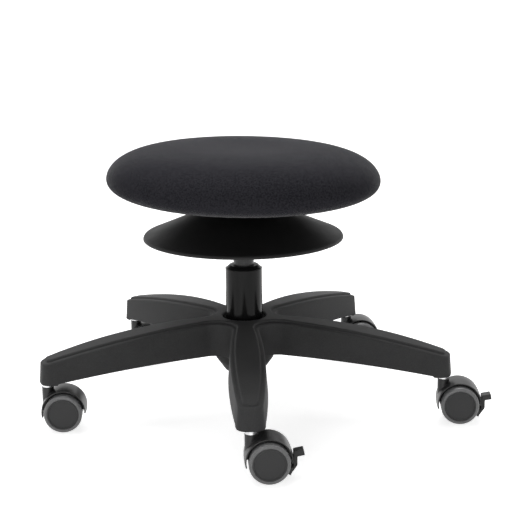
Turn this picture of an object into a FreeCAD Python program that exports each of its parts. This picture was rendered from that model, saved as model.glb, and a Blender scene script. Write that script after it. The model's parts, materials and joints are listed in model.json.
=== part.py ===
import FreeCAD
import Part
import math
import os

# Rolling stool: padded seat on a gas column, five-arm base and hooded twin-wheel castors.
# Millimetres. The origin is on the floor under the column axis, +Z is up and -Y is the front.

# Clearances
RUNNING_CLEARANCE = 0.05     # radial, between a shaft and the hole that it turns or slides in
FACE_GAP = 0.3               # between flat faces of pieces that move past each other
TILT_GAP = 0.6               # round the spokes that rock in the socket windows
CUT_MARGIN = 5.0             # how far a cutting solid reaches past what it cuts
SAME_POINT = 1e-6            # points nearer than this are one
ON_SURFACE = 1e-3            # points nearer than this to a face lie on it
FRONT = -90.0                # degrees from +X

# Base plan, given at the outline level, where the drafted walls are measured
ARM_COUNT = 5
FIRST_ARM_ANGLE = -88.75     # degrees from +X, the arm that points to the front
STEM_CIRCLE_RADIUS = 275.0   # from the column axis to the castor stems
ARM_OVERHANG = 6.8           # arm end past its stem
ARM_HALF_WIDTH = 23.2        # at the widest place
ARM_WIDEST_BACK = 131.8      # that place, back from the arm's end
ARM_SIDE_RADIUS = 900.0      # bow of the arm's sides
ARM_CORNER_RADIUS = 11.0     # in plan, at the arm's end
SMALLEST_CORNER = 1.5
WAIST_FILLET = 24.0          # hollow between two arms
OUTLINE_RISE = 39.0          # outline level above the arm's end
DRAFT_ANGLE = 4.0            # degrees, the walls lean in towards the top

# Base side view; rises and drops are from the underside of the arm's end
HUB_RISE = 62.3
SHOULDER_RADIUS = 33.0       # flat top of the hub, before the arms' tops bow down
ARM_TIP_HEIGHT = 29.9        # arm's end, from its underside to its top
ARCH_RISE = 16.3             # highest place of the arched underside
ARCH_TOP_RADIUS = 82.0       # that place, from the column axis
TIP_PAD_LENGTH = 15.4        # flat underside round the stem
TIP_STEP = 1.9               # from the arched underside down to that flat
RIM_FILLET = 4.2
RIM_WIDTH = 6.0              # raised rim round the sunk top panel
PANEL_DEPTH = 2.2
ARM_WALL = 4.0
ARM_TOP_THICKNESS = 5.0
RIB_THICKNESS = 3.0
CROSS_RIBS = 4
STEM_BOSS_WALL = 6.2
HUB_WALL = 9.8
HUB_DROP = 12.0
HUB_CONE_RISE = 17.0         # foot of the hub, drawn in as a cone
HUB_CONE_INSET = 12.0

# Column
TUBE_RADIUS = 25.0
TUBE_RISE = 67.7             # above the hub's top
TUBE_DEPTH = 77.3            # below the hub's top
TUBE_WALL = 4.0
TUBE_FLOOR = 3.0
TAPER_ANGLE = 1.36           # degrees, of the column's and the cylinder's tapers
HUB_RING_WIDTH = 4.7
HUB_RING_HEIGHT = 6.0
HUB_RING_SUNK = 1.2
BUSH_LENGTH = 63.0
COLLAR_HEIGHT = 4.6
COLLAR_STEP = 0.5            # tube edge left bare round the collar
COLLAR_SLOPE_WIDTH = 5.0
COLLAR_FILLET = 2.0

# Gas spring
CYLINDER_RADIUS = 14.0
CYLINDER_WALL = 1.5
CYLINDER_LENGTH = 191.65
VALVE_BLOCK = 14.0
STROKE = 60.0
STROKE_SPARE = 2.0
SEAL_LENGTH = 14.0
PISTON_LENGTH = 12.0
ROD_RADIUS = 5.0
ROD_TAIL = 4.0               # rod below the column's floor
ROD_SHOULDER_RADIUS = 9.0
ROD_SHOULDER_HEIGHT = 3.0
FLOOR_HOLE_CLEARANCE = 0.6
CLIP_RADIUS = 8.5
CLIP_THICKNESS = 1.2
RACE_RADIUS = 15.0
RACE_THICKNESS = 2.0
BALL_RADIUS = 2.0
BALL_COUNT = 10
BUMP_RADIUS = 12.0
BUMP_HEIGHT = 10.0
PIN_RADIUS = 4.0
PIN_SUNK = 4.0               # pin below the cylinder's top
PIN_PROUD = 8.0              # pin above the cylinder's top
PIN_DOME = 1.8
PIN_TRAVEL_ROOM = 4.0

# Seat mount and release
SOCKET_WALL = 5.0
SOCKET_DEPTH = 40.0
CHAMBER_RADIUS = 13.0        # bore above the cylinder, round the pin
MOUNT_PLATE_RADIUS = 85.0
MOUNT_PLATE_THICKNESS = 3.0
MOUNT_WELD_FILLET = 3.0
SPOKE_COUNT = 3
SPOKE_WIDTH = 8.0
SPIDER_THICKNESS = 2.7
SPIDER_DISC_RADIUS = 7.0
SPIDER_RING_ROOM = 7.0       # between the socket and the spider's ring
SPIDER_RING_WIDTH = 16.0
SPIDER_ROOM = 12.2           # between the spider and the mount's plate
WINDOW_DROP = 7.0            # window below the spokes
WINDOW_RISE = 0.5            # window above the spokes
DISH_SCREW_RADIUS = 2.0
DISH_SCREW_HEAD_RADIUS = 3.4
DISH_SCREW_HEAD_HEIGHT = 2.0
DISH_HOLE_ROOM = 5.0         # between the socket and the dish
DISH_FLAT_MARGIN = 1.0       # flat top past the spider's ring
DISH_RADIUS = 135.0
DISH_DEPTH = 42.0
DISH_RIM_HEIGHT = 3.4        # upright edge below the cone, before rounding
DISH_RIM_ROUND = 4.6
DISH_TOP_ROUND = 6.0
DISH_WALL = 3.0

# Seat
SEAT_RADIUS = 182.0
CUSHION_HEIGHT = 69.3
CROWN_RISE = 1.4             # top centre above the crown's edge
CROWN_EDGE_INSET = 76.0      # crown's edge in from the seat's side
CROWN_BEND = 230.0
SHOULDER_INSET = 12.5
SHOULDER_DROP = 15.5
SHOULDER_BEND = 33.0
SIDE_DROP = 35.0             # top of the upright side below the top
SIDE_BEND = 24.0
SIDE_RISE = 20.0             # foot of the upright side above the bottom
SIDE_FOOT_BEND = 22.0
FOOT_INSET = 12.0
FOOT_RISE = 4.8
FOOT_BEND = 21.0
BELLY_INSET = 48.0
BELLY_BEND = 90.0
COVER_THICKNESS = 1.2
BOARD_MARGIN = 8.0           # board's edge in from where the underside starts to rise
HEM_OVERLAP = 18.0           # cover drawn in over the board's edge
BOARD_THICKNESS = 12.0
SEAT_SCREW_COUNT = 4
SEAT_SCREW_CIRCLE = 62.0
SEAT_SCREW_RADIUS = 3.0
SEAT_SCREW_HEAD_RADIUS = 5.5
SEAT_SCREW_HEAD_HEIGHT = 3.6
NUT_BARREL_RADIUS = 4.0
NUT_FLANGE_RADIUS = 9.0
NUT_FLANGE_THICKNESS = 1.4

# Castors; the trail is from the stem back to the axle
CASTOR_YAWS = (3.4, -3.2, 4.0, -4.0, 1.9)   # degrees, where each castor trails, from +X
BRAKED_CASTORS = (0, 1)
TRAIL = 20.5
WHEEL_RADIUS = 25.0
WHEEL_GAP = 18.0             # between the two wheels
WHEEL_WIDTH = 18.0
TREAD_THICKNESS = 4.5
TREAD_ROUND = 3.0
LIP_WIDTH = 2.0              # rim of the disc beside the tread
LIP_PROUD = 0.5              # rim of the disc past the tread's side
LIP_ROUND = 0.8
LIP_FOOT_ROUND = 0.4
DISC_SUNK = 1.3
DISC_THICKNESS = 2.5
DISC_HUB_RADIUS = 7.0
WHEEL_RIM_THICKNESS = 3.0
AXLE_RADIUS = 3.0
AXLE_COVER = 3.0             # disc left over the axle's end
STEM_RADIUS = 5.5
STEM_LENGTH_UP = 22.0        # above the arm's underside
STEM_LENGTH_DOWN = 22.0      # below the housing's top
STEM_COLLAR_RADIUS = 7.2
STEM_COLLAR_HEIGHT = 4.9
STEM_SOCKET_CLEARANCE = 0.3
GRIP_RING_HEIGHT = 4.0
GRIP_RING_DEPTH = 0.8
GRIP_RING_BELOW_END = 4.0
BOSS_RISE = 1.4              # stem boss above the hood
HOUSING_BOSS_RADIUS = 7.8
HOOD_GAP = 2.2               # tread to hood
HOOD_WALL = 2.2
HOOD_CROWN = 0.7             # hood higher in the middle than at its edges
HOOD_HALF_WIDTH = 18.0
HOOD_TRAILING_ANGLE = 4.0    # degrees that the hood reaches below the axle behind
HOOD_LEADING_ANGLE = 13.0    # and in front
WEB_HALF_WIDTH = 6.0
AXLE_BOSS_RADIUS = 9.0

# Brake lever
LEVER_HALF_WIDTH = 6.0
PIVOT_BEHIND = 1.6           # pivot behind the hood
PIVOT_DROP = 9.0
LEVER_PIN_RADIUS = 1.5
LEVER_TRAVEL = 12.0          # degrees
LUG_HALF_WIDTH = 2.5
LUG_RADIUS = 3.0
SHOE_CLEARANCE = 2.5         # shoe to tread, brake off
SHOE_THICKNESS = 3.6
SHOE_HALF_WIDTH = 15.0
SHOE_ANGLES = (-36.0, -17.0)
PAD_LENGTH = 12.0
PAD_THICKNESS = 7.2
PAD_TILT = 11.0              # degrees
PAD_RISE = 17.2              # pad's inner top corner above the pivot
PAD_BACK = 0.8               # and in from it
ARM_FRONT_BACK = 1.2         # lever arm's inner face in from the pivot
ARM_BACK = 3.4               # lever arm's outer face behind the pivot
ELBOW_DROP = 8.0
ELBOW_LENGTH = 5.5
ELBOW_ROUND = 2.5
LEVER_ROUND = 1.0

tan_draft = math.tan(math.radians(DRAFT_ANGLE))
tan_taper = math.tan(math.radians(TAPER_ANGLE))
half_pitch = math.pi / ARM_COUNT
up = FreeCAD.Vector(0, 0, 1)
origin = FreeCAD.Vector(0, 0, 0)

# Places across the castors, from their middle plane or from the axle
wheel_inner = WHEEL_GAP / 2
wheel_outer = wheel_inner + WHEEL_WIDTH
core_radius = WHEEL_RADIUS - TREAD_THICKNESS
hood_inner = WHEEL_RADIUS + HOOD_GAP
hood_outer = hood_inner + HOOD_WALL
axle_half_length = wheel_outer + LIP_PROUD - DISC_SUNK - AXLE_COVER
lever_pivot = (hood_outer + PIVOT_BEHIND, -PIVOT_DROP)

# Levels of the base, which stands on the castors
housing_top = WHEEL_RADIUS + hood_outer + BOSS_RISE
collar_bottom = housing_top + FACE_GAP
arm_tip_bottom = collar_bottom + STEM_COLLAR_HEIGHT
arm_tip_top = arm_tip_bottom + ARM_TIP_HEIGHT
arch_top = arm_tip_bottom + ARCH_RISE
outline_level = arm_tip_bottom + OUTLINE_RISE
hub_top = arm_tip_bottom + HUB_RISE
hub_bottom = arm_tip_bottom - HUB_DROP

# Places along the arms
tip_reach = STEM_CIRCLE_RADIUS + ARM_OVERHANG
beyond_tip = tip_reach + HUB_RISE * tan_draft + CUT_MARGIN
arm_widest_at = tip_reach - ARM_WIDEST_BACK
stem_boss_radius = STEM_RADIUS + STEM_SOCKET_CLEARANCE + STEM_BOSS_WALL
hub_boss_radius = TUBE_RADIUS + HUB_RING_WIDTH + HUB_WALL

# Bow of the arms' tops, level at the hub
crown_fall = hub_top - arm_tip_top
crown_radius = ((tip_reach - SHOULDER_RADIUS) ** 2 + crown_fall ** 2) / (2 * crown_fall)

# Levels up the column, each one standing on the one below it
tube_bottom = hub_top - TUBE_DEPTH
tube_top = hub_top + TUBE_RISE
tube_bore_radius = TUBE_RADIUS - TUBE_WALL
lower_race_bottom = tube_bottom + TUBE_FLOOR
balls_bottom = lower_race_bottom + RACE_THICKNESS
upper_race_bottom = balls_bottom + 2 * BALL_RADIUS + RUNNING_CLEARANCE
rod_shoulder_bottom = upper_race_bottom + RACE_THICKNESS
bump_bottom = rod_shoulder_bottom + ROD_SHOULDER_HEIGHT
cylinder_bottom = bump_bottom + BUMP_HEIGHT + FACE_GAP
cylinder_top = cylinder_bottom + CYLINDER_LENGTH
cylinder_taper_bottom = cylinder_top - SOCKET_DEPTH
cylinder_bore_radius = CYLINDER_RADIUS - CYLINDER_WALL
piston_bottom = cylinder_bottom + SEAL_LENGTH + STROKE + STROKE_SPARE
pin_top = cylinder_top + PIN_PROUD
spider_bottom = pin_top + FACE_GAP
spider_top = spider_bottom + SPIDER_THICKNESS
mount_plate_bottom = spider_top + SPIDER_ROOM
seat_bottom = mount_plate_bottom + MOUNT_PLATE_THICKNESS
board_bottom = seat_bottom + COVER_THICKNESS
board_top = board_bottom + BOARD_THICKNESS

# Radii round the socket, the dish and the board
socket_radius = CYLINDER_RADIUS + SOCKET_WALL
spider_ring_inner = socket_radius + SPIDER_RING_ROOM
spider_ring_outer = spider_ring_inner + SPIDER_RING_WIDTH
spider_ring_middle = (spider_ring_inner + spider_ring_outer) / 2
dish_hole_radius = socket_radius + DISH_HOLE_ROOM
dish_flat_radius = spider_ring_outer + DISH_FLAT_MARGIN
dish_top = spider_top + DISH_WALL
dish_rim_bottom = dish_top - DISH_DEPTH
board_radius = SEAT_RADIUS - BELLY_INSET - BOARD_MARGIN
hem_radius = board_radius - HEM_OVERLAP


def unit(vector):
    """Vector of length one in the same direction."""
    return vector.multiply(1 / vector.Length)


def flat(x, z):
    """Point in the upright plane where profiles are drawn."""
    return FreeCAD.Vector(x, 0, z)


def rounded_wire(corners):
    """Closed wire through (x, z) or (x, z, radius) corners in the XZ plane."""
    points = [flat(c[0], c[1]) for c in corners]
    radii = [c[2] if len(c) > 2 else 0.0 for c in corners]
    edges, spans = [], []
    for i, corner in enumerate(points):
        back = unit(points[i - 1] - corner)
        ahead = unit(points[(i + 1) % len(points)] - corner)
        if radii[i] <= 0:
            spans.append((corner, None, corner))
            continue
        half_turn = back.getAngle(ahead) / 2
        cut = radii[i] / math.tan(half_turn)
        middle = unit(back + ahead)
        depth = radii[i] / math.sin(half_turn) - radii[i]
        spans.append((corner + back * cut, corner + middle * depth, corner + ahead * cut))
    for i, (start, bend, end) in enumerate(spans):
        if bend is not None:
            edges.append(Part.Arc(start, bend, end).toShape())
        following = spans[(i + 1) % len(spans)][0]
        if end.distanceToPoint(following) > SAME_POINT:
            edges.append(Part.LineSegment(end, following).toShape())
    return Part.Wire(edges)


def offset_chain(corners, distance):
    """Open chain of (x, z, radius) corners moved to the left of its direction."""
    moved = []
    last = len(corners) - 1
    for i, (x, z, radius) in enumerate(corners):
        start, end = corners[max(i - 1, 0)], corners[min(i + 1, last)]
        before = unit(flat(x - start[0], z - start[1])) if i > 0 else None
        after = unit(flat(end[0] - x, end[1] - z)) if i < last else before
        before = before or after
        normal = flat(-before.z - after.z, before.x + after.x)
        shift = normal * (distance / (1 + before * after))
        left_turn = before.x * after.z - before.z * after.x > 0
        inner = radius - distance if left_turn else radius + distance
        moved.append((x + shift.x, z + shift.z, max(inner, 0.0)))
    return moved


def revolved(corners):
    """Solid of revolution about the column axis."""
    return Part.Face(rounded_wire(corners)).revolve(origin, up, 360)


def ring(inner, outer, bottom, top):
    """Plain ring, or a disc where the inner radius is zero."""
    return revolved([(inner, bottom), (outer, bottom), (outer, top), (inner, top)])


def cylinder(radius, bottom, top, x=0.0, y=0.0):
    """Upright cylinder."""
    return Part.makeCylinder(radius, top - bottom, FreeCAD.Vector(x, y, bottom), up)


def polar(radius, degrees):
    """X and Y of a point at this radius and angle."""
    angle = math.radians(degrees)
    return radius * math.cos(angle), radius * math.sin(angle)


def turned(shape, degrees):
    """Copy turned about the column axis."""
    copy = shape.copy()
    copy.rotate(origin, up, degrees)
    return copy


def arm_angles():
    """Directions of the arms, in degrees from +X."""
    return [FIRST_ARM_ANGLE + i * 360.0 / ARM_COUNT for i in range(ARM_COUNT)]


def tube_radius_at(level):
    """Outside of the column tube, which tapers inside the hub."""
    return TUBE_RADIUS - max(hub_top - level, 0.0) * tan_taper


def cylinder_radius_at(level):
    """Outside of the gas cylinder, which tapers inside the seat socket."""
    return CYLINDER_RADIUS - max(level - cylinder_taper_bottom, 0.0) * tan_taper


# Base star

def bend_middle(centre, start, end, radius):
    """Point half way along the arc from start to end about the centre."""
    return centre + unit((start - centre) + (end - centre)) * radius


def star_outline(inset, level):
    """Plan outline of the base at a height, moved inward by the inset."""
    side = ARM_SIDE_RADIUS - inset
    waist = WAIST_FILLET + inset
    corner = max(ARM_CORNER_RADIUS - inset, SMALLEST_CORNER)
    side_centre = FreeCAD.Vector(arm_widest_at, ARM_HALF_WIDTH - ARM_SIDE_RADIUS, 0)
    bisector = FreeCAD.Vector(math.cos(half_pitch), math.sin(half_pitch), 0)
    along = bisector * side_centre
    reach = along + math.sqrt(along ** 2 - side_centre.Length ** 2 + (side + waist) ** 2)
    waist_centre = bisector * reach
    corner_x = tip_reach - inset - corner
    corner_rise = math.sqrt((side - corner) ** 2 - (corner_x - arm_widest_at) ** 2)
    corner_centre = FreeCAD.Vector(corner_x, side_centre.y + corner_rise, 0)
    valley = bisector * (reach - waist)
    root = waist_centre + unit(side_centre - waist_centre) * waist
    shoulder = side_centre + unit(corner_centre - side_centre) * side
    end = corner_centre + FreeCAD.Vector(corner, 0, 0)
    half = [
        (valley, bend_middle(waist_centre, valley, root, waist), root),
        (root, bend_middle(side_centre, root, shoulder, side), shoulder),
        (shoulder, bend_middle(corner_centre, shoulder, end, corner), end),
    ]
    lift = FreeCAD.Vector(0, 0, level)
    arm = []
    for sign in (-1, 1):
        for arc in half:
            arm.append(Part.Arc(*[FreeCAD.Vector(p.x, sign * p.y, 0) + lift for p in arc]).toShape())
    mirrored_end = FreeCAD.Vector(end.x, -end.y, 0)
    arm.append(Part.LineSegment(mirrored_end + lift, end + lift).toShape())
    edges = [turned(edge, angle) for angle in arm_angles() for edge in arm]
    return Part.Wire(Part.__sortEdges__(edges))


def star_prism(inset, bottom, top):
    """Drafted prism of the base's plan between two levels."""
    wires = []
    for level in (bottom, top):
        wires.append(star_outline(inset + (level - outline_level) * tan_draft, level))
    return Part.makeLoft(wires, True, True)


def crown_level(radius):
    """Height of the base's crowned top: flat over the hub, then bowed down to the arms' ends."""
    reach = max(radius - SHOULDER_RADIUS, 0.0)
    return hub_top - crown_radius + math.sqrt(crown_radius ** 2 - reach ** 2)


def bowed_region(bow, corners):
    """Solid of revolution under or over an arc through three points, closed through the corners."""
    path = [bow[-1]] + corners + [bow[0]]
    edges = [Part.LineSegment(a, b).toShape() for a, b in zip(path, path[1:])]
    edges.append(Part.Arc(*bow).toShape())
    return Part.Face(Part.Wire(edges)).revolve(origin, up, 360)


def crown_region(drop, level):
    """Solid between the base's crowned top, lowered by the drop, and a flat level."""
    places = (SHOULDER_RADIUS, (SHOULDER_RADIUS + beyond_tip) / 2, beyond_tip)
    bow = [flat(radius, crown_level(radius) - drop) for radius in places]
    return bowed_region(bow, [flat(beyond_tip, level), flat(0, level), flat(0, hub_top - drop)])


def underside_region(bottom):
    """Solid below the arched underside of the arms and the flats round their stems."""
    pad_start = tip_reach - TIP_PAD_LENGTH
    end = flat(pad_start - TIP_STEP, arm_tip_bottom + TIP_STEP)
    half_reach, fall = (end.x - ARCH_TOP_RADIUS) / 2, arch_top - end.z
    middle = flat(end.x - half_reach, arch_top - fall / 4)
    return bowed_region([flat(ARCH_TOP_RADIUS, arch_top), middle, end], [
        flat(pad_start, arm_tip_bottom), flat(beyond_tip, arm_tip_bottom), flat(beyond_tip, bottom),
        flat(0, bottom), flat(0, arch_top),
    ])


def crown_edges(solid):
    """Edges of the solid that lie on the crowned top."""
    found = []
    for edge in solid.Edges:
        heights = [p.z - crown_level(math.hypot(p.x, p.y)) for p in edge.discretize(3)]
        if max(abs(height) for height in heights) < ON_SURFACE:
            found.append(edge)
    return found


def arm_ribs(bottom, top):
    """Long and cross ribs under the arms."""
    ribs = []
    pitch = (STEM_CIRCLE_RADIUS - hub_boss_radius) / (CROSS_RIBS + 1)
    height = top - bottom
    half = RIB_THICKNESS / 2
    for angle in arm_angles():
        places = [(0, STEM_CIRCLE_RADIUS, half)]
        for i in range(CROSS_RIBS):
            x = hub_boss_radius + (i + 1) * pitch
            places.append((x - half, x + half, 2 * ARM_HALF_WIDTH))
        for start, end, reach in places:
            corner = FreeCAD.Vector(start, -reach, bottom)
            ribs.append(turned(Part.makeBox(end - start, 2 * reach, height, corner), angle))
    return ribs


def hub_bore():
    """Cutter for the hub's taper and for the seat of its ring."""
    low, high = hub_bottom - CUT_MARGIN, hub_top + CUT_MARGIN
    ring_bottom = hub_top - HUB_RING_SUNK - HUB_RING_HEIGHT
    taper = revolved([
        (0, low), (tube_radius_at(low), low), (TUBE_RADIUS, hub_top), (TUBE_RADIUS, high), (0, high),
    ])
    return taper.fuse(ring(0, TUBE_RADIUS + HUB_RING_WIDTH, ring_bottom, high))


def hub_boss():
    """Cone under the arms round the column."""
    top = arch_top + ARM_WALL
    return revolved([
        (0, hub_bottom), (hub_boss_radius - HUB_CONE_INSET, hub_bottom),
        (hub_boss_radius, hub_bottom + HUB_CONE_RISE), (hub_boss_radius, top), (0, top),
    ])


def base_star():
    """Moulded base: drafted arms, rounded rim, sunk panel, ribbed underside, hub and stem sockets."""
    low, high = arm_tip_bottom - CUT_MARGIN, hub_top + CUT_MARGIN
    under = low - CUT_MARGIN
    deep = under - CUT_MARGIN
    star = star_prism(0, low, high).common(crown_region(0, under))
    star = star.cut(underside_region(under))
    star = star.makeFillet(RIM_FILLET, crown_edges(star))
    panel = star_prism(RIM_WIDTH, low, high).cut(crown_region(PANEL_DEPTH, under))
    star = star.cut(panel)
    hollow = star_prism(ARM_WALL, under, high).common(crown_region(ARM_TOP_THICKNESS, under))
    keep = arm_ribs(deep, high) + [cylinder(hub_boss_radius, deep, high)]
    sockets = []
    for angle in arm_angles():
        x, y = polar(STEM_CIRCLE_RADIUS, angle)
        keep.append(cylinder(stem_boss_radius, deep, high, x, y))
        socket_top = arm_tip_bottom + STEM_LENGTH_UP + FACE_GAP
        sockets.append(cylinder(STEM_RADIUS + STEM_SOCKET_CLEARANCE, low, socket_top, x, y))
    star = star.cut(hollow.cut(keep))
    star = star.fuse(hub_boss()).removeSplitter()
    return star.cut([hub_bore()] + sockets)


def hub_ring():
    """Steel ring in the mouth of the hub."""
    top = hub_top - HUB_RING_SUNK
    bottom = top - HUB_RING_HEIGHT
    outer = TUBE_RADIUS + HUB_RING_WIDTH
    return revolved([
        (tube_radius_at(bottom), bottom), (outer, bottom), (outer, top), (tube_radius_at(top), top),
    ])


# Column and gas spring

def column_tube():
    """Tapered tube with a floor that the thrust bearing stands on."""
    floor_top = tube_bottom + TUBE_FLOOR
    hole = ROD_RADIUS + FLOOR_HOLE_CLEARANCE
    return revolved([
        (hole, tube_bottom), (tube_radius_at(tube_bottom), tube_bottom), (TUBE_RADIUS, hub_top),
        (TUBE_RADIUS, tube_top), (tube_bore_radius, tube_top), (tube_bore_radius, floor_top),
        (hole, floor_top),
    ])


def guide_bush():
    """Plastic bush that the cylinder slides in, with a sloping collar on the tube's end."""
    bore = CYLINDER_RADIUS + RUNNING_CLEARANCE
    bottom, top = tube_top - BUSH_LENGTH, tube_top + COLLAR_HEIGHT
    collar = TUBE_RADIUS - COLLAR_STEP
    return revolved([
        (bore, bottom), (tube_bore_radius, bottom), (tube_bore_radius, tube_top), (collar, tube_top),
        (collar - COLLAR_SLOPE_WIDTH, top, COLLAR_FILLET), (bore, top),
    ])


def bearing_balls():
    """Balls between the two races."""
    middle = balls_bottom + BALL_RADIUS
    pitch_radius = (ROD_RADIUS + RACE_RADIUS) / 2
    balls = []
    for i in range(BALL_COUNT):
        x, y = polar(pitch_radius, i * 360.0 / BALL_COUNT)
        balls.append(Part.makeSphere(BALL_RADIUS, FreeCAD.Vector(x, y, middle)))
    return Part.makeCompound(balls)


def piston_rod():
    """Rod with the shoulder that stands on the bearing and the piston in the cylinder."""
    piston = cylinder_bore_radius - RUNNING_CLEARANCE
    end = tube_bottom - ROD_TAIL
    piston_top = piston_bottom + PISTON_LENGTH
    return revolved([
        (0, end), (ROD_RADIUS, end), (ROD_RADIUS, rod_shoulder_bottom),
        (ROD_SHOULDER_RADIUS, rod_shoulder_bottom), (ROD_SHOULDER_RADIUS, bump_bottom),
        (ROD_RADIUS, bump_bottom), (ROD_RADIUS, piston_bottom), (piston, piston_bottom),
        (piston, piston_top), (0, piston_top),
    ])


def retaining_clip():
    """Clip on the rod under the column's floor."""
    top = tube_bottom - FACE_GAP
    return ring(ROD_RADIUS, CLIP_RADIUS, top - CLIP_THICKNESS, top)


def gas_cylinder():
    """Sliding cylinder: bore for the piston, valve block on top, tapered end."""
    bore_top = cylinder_top - VALVE_BLOCK
    pin_hole = PIN_RADIUS + RUNNING_CLEARANCE
    hole_bottom = cylinder_top - PIN_SUNK - PIN_TRAVEL_ROOM
    return revolved([
        (cylinder_bore_radius, cylinder_bottom), (CYLINDER_RADIUS, cylinder_bottom),
        (CYLINDER_RADIUS, cylinder_taper_bottom), (cylinder_radius_at(cylinder_top), cylinder_top),
        (pin_hole, cylinder_top), (pin_hole, hole_bottom), (0, hole_bottom), (0, bore_top),
        (cylinder_bore_radius, bore_top),
    ])


def rod_seal():
    """Seal that closes the cylinder round the rod."""
    top = cylinder_bottom + SEAL_LENGTH
    return ring(ROD_RADIUS + RUNNING_CLEARANCE, cylinder_bore_radius, cylinder_bottom, top)


def release_pin():
    """Valve pin with a domed end, pressed by the spider."""
    bottom = cylinder_top - PIN_SUNK
    return revolved([(0, bottom), (PIN_RADIUS, bottom), (PIN_RADIUS, pin_top, PIN_DOME), (0, pin_top)])


# Seat mount and release dish

def spoke_angles():
    """Directions of the spider's spokes; the first one points to the front."""
    return [FRONT + i * 360.0 / SPOKE_COUNT for i in range(SPOKE_COUNT)]


def bar(width, reach, bottom, top, degrees):
    """Flat bar from the axis outwards."""
    box = Part.makeBox(reach, width, top - bottom, FreeCAD.Vector(0, -width / 2, bottom))
    return turned(box, degrees)


def screw_places(count, circle, first):
    """Centres of a ring of screws."""
    return [polar(circle, first + i * 360.0 / count) for i in range(count)]


def dish_screw_places():
    """Dish screws, half way between the spokes."""
    return screw_places(SPOKE_COUNT, spider_ring_middle, FRONT + 180.0 / SPOKE_COUNT)


def seat_screw_places():
    """Seat screws, on the corners of a square."""
    return screw_places(SEAT_SCREW_COUNT, SEAT_SCREW_CIRCLE, 180.0 / SEAT_SCREW_COUNT)


def pillars(radius, bottom, top, places):
    """Upright cylinders at several places."""
    return [cylinder(radius, bottom, top, x, y) for x, y in places]


def seat_mount():
    """Steel plate with a tapered socket for the cylinder and windows for the spokes."""
    bottom = cylinder_taper_bottom
    mount = revolved([
        (cylinder_radius_at(bottom), bottom), (socket_radius, bottom),
        (socket_radius, mount_plate_bottom, MOUNT_WELD_FILLET), (MOUNT_PLATE_RADIUS, mount_plate_bottom),
        (MOUNT_PLATE_RADIUS, seat_bottom), (0, seat_bottom), (0, mount_plate_bottom),
        (CHAMBER_RADIUS, mount_plate_bottom), (CHAMBER_RADIUS, cylinder_top),
        (cylinder_radius_at(cylinder_top), cylinder_top),
    ])
    width = SPOKE_WIDTH + 2 * TILT_GAP
    reach = socket_radius + CUT_MARGIN
    sill, lintel = spider_bottom - WINDOW_DROP, spider_top + WINDOW_RISE
    windows = [bar(width, reach, sill, lintel, angle) for angle in spoke_angles()]
    holes = pillars(SEAT_SCREW_RADIUS, mount_plate_bottom - CUT_MARGIN, board_top, seat_screw_places())
    return mount.cut(windows + holes)


def release_spider():
    """Spokes that carry the dish and press the pin."""
    plate = ring(spider_ring_inner, spider_ring_outer, spider_bottom, spider_top)
    spokes = []
    for angle in spoke_angles():
        spokes.append(bar(SPOKE_WIDTH, spider_ring_middle, spider_bottom, spider_top, angle))
    disc = cylinder(SPIDER_DISC_RADIUS, spider_bottom, spider_top)
    low, high = spider_bottom - CUT_MARGIN, spider_top + CUT_MARGIN
    holes = pillars(DISH_SCREW_RADIUS, low, high, dish_screw_places())
    return plate.fuse(spokes + [disc]).removeSplitter().cut(holes)


def release_dish():
    """Conical dish with a flat top and a rounded rim, lifted anywhere round its edge."""
    rim_top = dish_rim_bottom + DISH_RIM_HEIGHT
    outside = [
        (dish_hole_radius, dish_top, 0.0), (dish_flat_radius, dish_top, DISH_TOP_ROUND),
        (DISH_RADIUS, rim_top, DISH_RIM_ROUND), (DISH_RADIUS, dish_rim_bottom, 0.0),
    ]
    inside = offset_chain(outside, -DISH_WALL)
    dish = revolved(outside + inside[::-1])
    holes = pillars(DISH_SCREW_RADIUS, spider_bottom, dish_top + CUT_MARGIN, dish_screw_places())
    return dish.cut(holes)


def dish_screws():
    """Screws that hold the dish on the spider."""
    screws = []
    head_top = dish_top + DISH_SCREW_HEAD_HEIGHT
    for x, y in dish_screw_places():
        shank = cylinder(DISH_SCREW_RADIUS, spider_bottom, dish_top, x, y)
        head = cylinder(DISH_SCREW_HEAD_RADIUS, dish_top, head_top, x, y)
        screws.append(shank.fuse(head).removeSplitter())
    return Part.makeCompound(screws)


# Seat

def cushion_chain():
    """Right half of the cushion's section, from the bottom centre round to the top centre."""
    top = seat_bottom + CUSHION_HEIGHT
    return [
        (0.0, seat_bottom, 0.0),
        (SEAT_RADIUS - BELLY_INSET, seat_bottom, BELLY_BEND),
        (SEAT_RADIUS - FOOT_INSET, seat_bottom + FOOT_RISE, FOOT_BEND),
        (SEAT_RADIUS, seat_bottom + SIDE_RISE, SIDE_FOOT_BEND),
        (SEAT_RADIUS, top - SIDE_DROP, SIDE_BEND),
        (SEAT_RADIUS - SHOULDER_INSET, top - SHOULDER_DROP, SHOULDER_BEND),
        (SEAT_RADIUS - CROWN_EDGE_INSET, top - CROWN_RISE, CROWN_BEND),
        (0.0, top, 0.0),
    ]


def cushion_inside():
    """Space inside the cover, closed along the axis."""
    inner = offset_chain(cushion_chain(), COVER_THICKNESS)
    ends = [(0.0, inner[i][1], 0.0) for i in (0, -1)]
    return revolved(ends[:1] + inner[1:-1] + ends[1:])


def seat_cover():
    """Woven cover, drawn under the board to an open hem."""
    hem = cylinder(hem_radius, seat_bottom - CUT_MARGIN, board_bottom)
    return revolved(cushion_chain()).cut([cushion_inside(), hem])


def dust_cover():
    """Thin disc that closes the hem under the board."""
    holes = pillars(SEAT_SCREW_RADIUS, seat_bottom - CUT_MARGIN, board_top, seat_screw_places())
    return cylinder(hem_radius, seat_bottom, board_bottom).cut(holes)


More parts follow.
